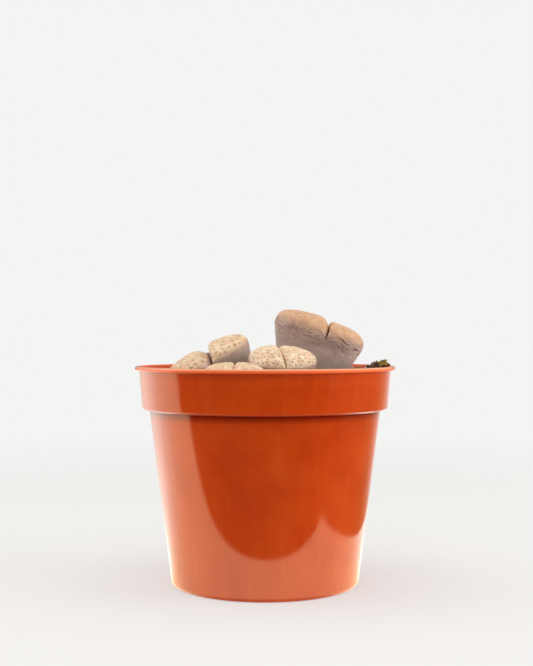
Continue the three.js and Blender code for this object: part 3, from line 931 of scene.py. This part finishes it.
def make_stones():
    draw = np.random.default_rng(7)
    # the stones heaped highest, between the tall head and the moss: place, radius and kind
    crest = [(36.9, 9.5, 88.4, 1.3, 0.9), (38.6, 8, 88.5, 1.1, 0.62), (40, 10.5, 88.5, 1.2, 0.62)]
    crest += [(40.9, 6, 88.5, 1.1, 0.5), (42.4, 8.5, 88.5, 1.1, 0.44), (42.6, 4.6, 88.5, 0.9, 0.3)]
    crest += [(43.9, 6.5, 88.8, 0.9, 0.52), (44.7, 4.3, 88.9, 0.8, 0.75), (38.6, 3.5, 88.1, 1, 0.1)]
    crest += [(45, 9.5, 88.6, 1, 0.48)]
    crest = np.array(crest)
    grit = Gathered()
    take_stones(grit, crest[:, :4], 3, draw, crest[:, 4])
    spots = [tuple(stone) for stone in crest[:, :4]]
    for radii, subdivisions, sink in (
        (np.sort(draw.uniform(1.5, 2.6, 150))[::-1], 3, -0.1),
        (np.sort(draw.uniform(0.8, 1.5, 520))[::-1], 2, 0.0),
        (draw.uniform(0.45, 0.8, 900), 1, 0.2),
    ):
        take_stones(grit, lay_stones(radii, draw, sink, spots), subdivisions, draw)
    points, faces, layers = grit.joined()
    material = grit_material()
    add_piece("grit_stones", points, faces, material, node="grit", layers=layers, sharp=32)


def make_bed():
    """The crumbly ground between the stones: one closed slab with a rough top."""
    rings, sectors = 100, 300
    depth = 0.75  # of the ground under the stones' surface
    radius = np.linspace(0.5, inner_radius(bed.low) - 0.15, rings)[:, None]
    x, y = radius * np.cos(around(sectors)), radius * np.sin(around(sectors))
    flat = np.stack([x, y, np.zeros_like(x)], -1).reshape(-1, 3)
    rough = 0.45 * layered_noise(flat, 2.6, 91, 4) + 0.25 * np.abs(layered_noise(flat, 1.1, 97, 2))
    top = flat.copy()
    top[:, 2] = grit_height(flat[:, 0], flat[:, 1]) - depth + rough
    rim = flat[-sectors:].copy()
    rim[:, 2] = bed.bottom
    points = np.vstack([top[::-1], rim[::-1], [0, 0, bed.bottom], [0, 0, grit_height(0, 0) - depth]])
    faces = grid_faces(rings, sectors, wrap_columns=True)
    foot = rings * sectors
    last = foot - sectors
    bottom, peak = foot + sectors, foot + sectors + 1
    for j in range(sectors):
        right = (j + 1) % sectors
        faces.append((foot + j, foot + right, right, j))
        faces.append((bottom, foot + right, foot + j))
        faces.append((peak, last + j, last + right))
    add_piece("grit_bed", points, faces, soil_material(), node="grit")


# ---- moss and dry husks


def blade(start, direction, side, length, width, curl, rows):
    """Points and faces of one thin pointed leaf that curls up along its length."""
    direction = unit(direction)
    up = unit(np.cross(side, direction))
    side = np.cross(direction, up)
    points = []
    for share in np.arange(rows + 1) / rows:
        middle = start + direction * length * share + up * curl * length * share**2
        half = width / 2 * math.sin(math.pi * min(0.12 + 0.88 * share, 1)) ** 0.7
        thick = 0.16 * width * (1 - 0.8 * share)
        for across, lift in ((-half, half * 0.4), (0, thick), (half, half * 0.4), (0, -thick)):
            points.append(middle + side * across + up * lift)
    faces = grid_faces(rows + 1, 4, wrap_columns=True)
    faces += [(3, 2, 1, 0), tuple(range(4 * rows, 4 * rows + 4))]
    return np.array(points), faces


def heap_height(x, y):
    """Top of the moss heap: it climbs towards the lip, then falls over it."""
    along = x - clump.x
    top = np.interp(along, (-5, -4.1, -2.3, -0.3, 2.2, 3, 5), (1.0, 2.6, 3.2, 3.9, 4.7, 3.3, 1.4))
    across = np.clip(1 - ((y - clump.y) / (1.1 * clump.half_width)) ** 2, 0, 1)
    return clump.bottom + 0.5 + (top - 0.5) * across**0.5


def moss_core():
    """The crumbly middle of the heap, a little smaller than the heap."""
    directions, faces = icosphere(4)
    core = directions * (clump.half_length, 0.9 * clump.half_width, 1) + (clump.x, clump.y, 0)
    top = heap_height(core[:, 0], core[:, 1]) - clump.bottom - 0.6
    core[:, 2] = clump.bottom + 0.05 + np.maximum(directions[:, 2], 0) ** 0.4 * top
    core += 0.4 * np.stack([layered_noise(core, 1.2, seed) for seed in (301, 311, 321)], -1)
    return core, faces


def take_shoot(heap, draw):
    """Adds one scaly shoot that lies on the heap: green near its peak, and darkened low down, below the
    lip's top, as painted shade.
    """
    out = draw.uniform(0, 1) ** 0.6
    turn = draw.uniform(0, 2 * math.pi)
    x = clump.x + out * clump.half_length * math.cos(turn)
    y = clump.y + out * clump.half_width * 0.95 * math.sin(turn)
    base = np.array([x, y, heap_height(x, y) - draw.uniform(0.5, 0.9)])
    heading = np.array([0.6 + 0.4 * math.cos(turn), 0.5 * math.sin(turn), draw.uniform(-0.1, 0.25)])
    heading = unit(heading + draw.normal(size=3) * 0.2)
    away = (x - clump.x - 1.8) / clump.half_length
    length = draw.uniform(0.9, 1.9) * (1 - 0.55 * smooth(1.8 * abs(away)))
    lively = draw.uniform(0, 1) < 0.05 + 0.6 * bell((x - clump.x - 1.2) / 1.4)
    # painted shade: below the lip's top a shoot's tint falls towards the core's near-black
    shaded = smooth((base[2] - pot.height + 0.7) / 0.8)
    leaves = 8
    for share in np.arange(leaves) / leaves:
        spot = base + heading * length * share
        spin = draw.uniform(0, 2 * math.pi)
        aside = unit(np.cross(heading, [math.cos(spin), math.sin(spin), 0.3]))
        way = heading * draw.uniform(0.8, 1.4) + aside * 0.8
        size = draw.uniform(0.6, 1.15) * (1 - 0.3 * share)
        leaf, faces = blade(spot, way, heading + 0.01, size, size * 0.45, draw.uniform(-0.3, 0.4), 3)
        tint = draw.uniform(0.5, 1) if lively else draw.uniform(0.12, 0.42)
        heap.take(leaf, faces, tint=shaded * tint)


def make_moss():
    """A little heap of dry moss: a dark crumbly core under scaly shoots, some of them green."""
    draw = np.random.default_rng(19)
    heap = Gathered()
    heap.take(*moss_core(), tint=0)
    shoots = 120
    for _ in range(shoots):
        take_shoot(heap, draw)
    points, faces, layers = heap.joined()
    # all of it keeps to the room of its node: inside the wall, on the grit, and over the lip
    low, high = (np.array(corner[:]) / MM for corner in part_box("moss_clump"))
    points = np.clip(points, low + 0.02, high - 0.02)
    radius = radius_of(points)
    over_lip = points[:, 2] >= pot.height + 0.1
    room = np.where(over_lip, pot.collar_top_radius + 0.3, inner_radius(pot.height) - 0.4)
    points[:, :2] *= np.minimum(1, room / radius)[:, None]
    moss = moss_material()
    add_piece("moss_heap", points, faces, moss, node="moss_clump", layers=layers, sharp=50)


def husk_foot(head, angle):
    """Where the head's flank meets the grit, at an angle round its middle."""
    reach = head.reach[1] if math.cos(angle) > 0 else head.reach[0]
    for depth in np.linspace(4, 40, 73):
        spread = 1 - (depth / head.root) ** head.taper
        x = (reach * spread + 0.5) * math.cos(angle)
        y = (head.depth * spread + 0.5) * math.sin(angle)
        placed = turn_of(head) @ np.array([x, y, -depth]) + np.array(head.place)
        if placed[2] < grit_height(placed[0], placed[1]) + 0.2:
            break
    return placed


def make_husks():
    """Dry papery remains of old leaves round the foot of the tall head."""
    draw = np.random.default_rng(29)
    husks = Gathered()
    for angle in np.radians([-62, -28, 14, 60, 118, 165, 205, 250]):
        outwards = turn_of(tall_head) @ np.array([math.cos(angle), math.sin(angle), 0])
        outwards = unit(outwards * (1, 1, 0))
        foot = husk_foot(tall_head, angle) + outwards * 0.3
        rise = outwards * 0.55 + (0, 0, 1)
        side = np.cross([0, 0, 1], outwards)
        length = draw.uniform(2, 3.2)
        width = draw.uniform(3, 4.6)
        husks.take(*blade(foot, rise, side, length, width, draw.uniform(0.1, 0.3), 6))
    points, faces, _ = husks.joined()
    add_piece("dry_husks", points, faces, husk_material(), sharp=60)


# ---- stage, light and camera

ALL_WAY = (-3000, 3000)


def add_plane(name, across, along, height, material):
    """A flat piece of the stage, from across[0] to across[1] in x and along in y."""
    (left, right), (front, back) = across, along
    corners = [(left, front), (right, front), (right, back), (left, back)]
    mesh = new_mesh(name, [(*corner, height) for corner in corners], [(0, 1, 2, 3)])
    mesh.materials.append(material)
    plane = new_object(name, mesh)
    return plane


def make_floor():
    """A pale floor that fades into the pale background."""
    nodes = new_material("pale_floor")
    place = nodes.place()
    away = nodes.out("VectorMath", {0: place}, operation="LENGTH", socket="Value")
    lit = nodes.out("BsdfDiffuse", {"Color": colour("#a9aaaa")})
    pale = nodes.out("AddShader", {0: lit, 1: nodes.glow("#f4f4f4", 0.5)})
    # in front it throws little light back on the pot
    in_front = nodes.span(nodes.axes(place)["Y"], -140 * MM, -320 * MM)
    bounced = nodes.out("LightPath", socket="Is Diffuse Ray")
    pale = nodes.either(nodes.times(in_front, bounced), pale, nodes.glow("#ffe6d8", 0.19))
    clear = nodes.out("BsdfTransparent")
    fade = nodes.span(away, 160 * MM, 750 * MM)
    material = nodes.surface("MixShader", {0: fade, 1: pale, 2: clear})
    add_plane("floor", ALL_WAY, ALL_WAY, 0, material)


def add_card(name, tints, glows, across, along, height, turn=0, tint_span=(0, 1), glow_span=(0, 1)):
    """Adds a studio card just over the floor that only reflections see. It goes from its first
    tint and strength to the second ones over a span of angles, in radians: 0 is beside the pot,
    and a quarter turn is behind it."""
    nodes = new_material(name)
    place = nodes.axes(nodes.place())
    angle = nodes.maths("ARCTAN2", place["Y"], nodes.maths("ABSOLUTE", place["X"]))
    tint = nodes.mix(nodes.span(angle, *tint_span), *tints)
    # steep reflections, as in pictures from above, see less of it
    steep = nodes.axes(nodes.out("NewGeometry", socket="Incoming"))["Z"]
    share = nodes.span(steep, 0.5, 0.85, 1, 0.3)
    strength = nodes.times(nodes.span(angle, *glow_span, *glows), share)
    material = nodes.surface("Emission", {"Color": tint, "Strength": strength})
    card = add_plane(name, across, along, height, material)
    card.rotation_euler.z = math.radians(turn)
    for ray in ("camera", "diffuse", "shadow", "transmission"):
        setattr(card, "visible_" + ray, False)


def make_stage():
    """The floor, and cards that draw the pot's gloss: a black one that ends the lit table in
    front, a dim one on the right, and the table."""
    make_floor()
    black = "#0b0a0a"
    add_card("card_front", (black, black), (1, 1), ALL_WAY, (-3000, -72.2), 1.5, turn=1.5)
    spans = dict(tint_span=(0.5, 1.3), glow_span=(0.1, 1.5))
    add_card("card_right", ("#ffd390", "#fffdfc"), (0.22, 1.15), (96.5, 3000), (-90, 3000), 1, **spans)
    spans = dict(tint_span=(-0.2, 0.8), glow_span=(0.55, 1.45))
    add_card("card_table", ("#ffe3b8", "#fff8ea"), (2.4, 0.8), ALL_WAY, ALL_WAY, 0.5, **spans)


def make_world():
    """Soft light from above, from both sides and from behind, little from the front."""
    world = bpy.data.worlds.new("studio")
    bpy.context.scene.world = world
    nodes = Nodes(world)
    way = nodes.axes(nodes.out("TexCoord", socket="Generated"))
    front = nodes.span(way["Y"], -0.1, -0.9, 0, 0.2)
    up = nodes.span(way["Z"], 0.1, 1, 0, 0.15)
    right = nodes.span(way["X"], 0.1, 0.95, 0, 0.3)
    left = nodes.span(way["X"], -0.2, -0.95, 0, 0.6)
    strength = nodes.plus(nodes.plus(right, left), nodes.plus(up, 0.3))
    strength = nodes.maths("SUBTRACT", strength, front)
    light = nodes.out("Background", {"Color": colour("#fffdf9"), "Strength": strength})
    seen = nodes.out("Background", {"Color": colour("#f4f4f3")})
    camera_ray = nodes.out("LightPath", socket="Is Camera Ray")
    both = nodes.either(camera_ray, light, seen)
    nodes.tree.links.new(both, nodes.add("OutputWorld").inputs["Surface"])


def make_lights():
    """Wide soft lamps high in front and overhead, a weak one on the left, and on the right one
    that reflections don't see."""
    for name, place, size, power, mirrored in (
        ("key", (-0.05, -0.7, 0.9), 1.1, 4.7, True),
        ("overhead", (0, 0.15, 1.1), 0.9, 2.9, True),
        ("left_window", (-1.0, 0.1, 0.5), 0.8, 2.6, True),
        ("right_fill", (1.0, -0.2, 0.2), 0.9, 7.8, False),
    ):
        lamp = bpy.data.lights.new(name, "AREA")
        lamp.size = size
        lamp.energy = power
        lamp.color = (1, 0.96, 0.9)
        stand = new_object(name, lamp)
        stand.location = place
        stand.rotation_euler = (-stand.location).to_track_quat("-Z", "Y").to_euler()
        stand.visible_glossy = mirrored


def make_camera():
    """A little higher than the lip, straight in front of the pot."""
    lens = bpy.data.cameras.new("camera")
    lens.lens = 61
    lens.sensor_width = 36
    camera = new_object("camera", lens)
    camera.location = (0.0006, -0.471, 0.1017)
    camera.rotation_euler = (math.radians(90.25), 0, 0)
    bpy.context.scene.camera = camera
    bpy.context.scene.view_settings.view_transform = "Standard"


make_camera()
make_world()
make_lights()
make_stage()
make_pot()
make_bed()
make_stones()
make_heads()
make_moss()
make_husks()
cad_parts["soil"].data.materials.clear()
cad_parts["soil"].data.materials.append(soil_material())
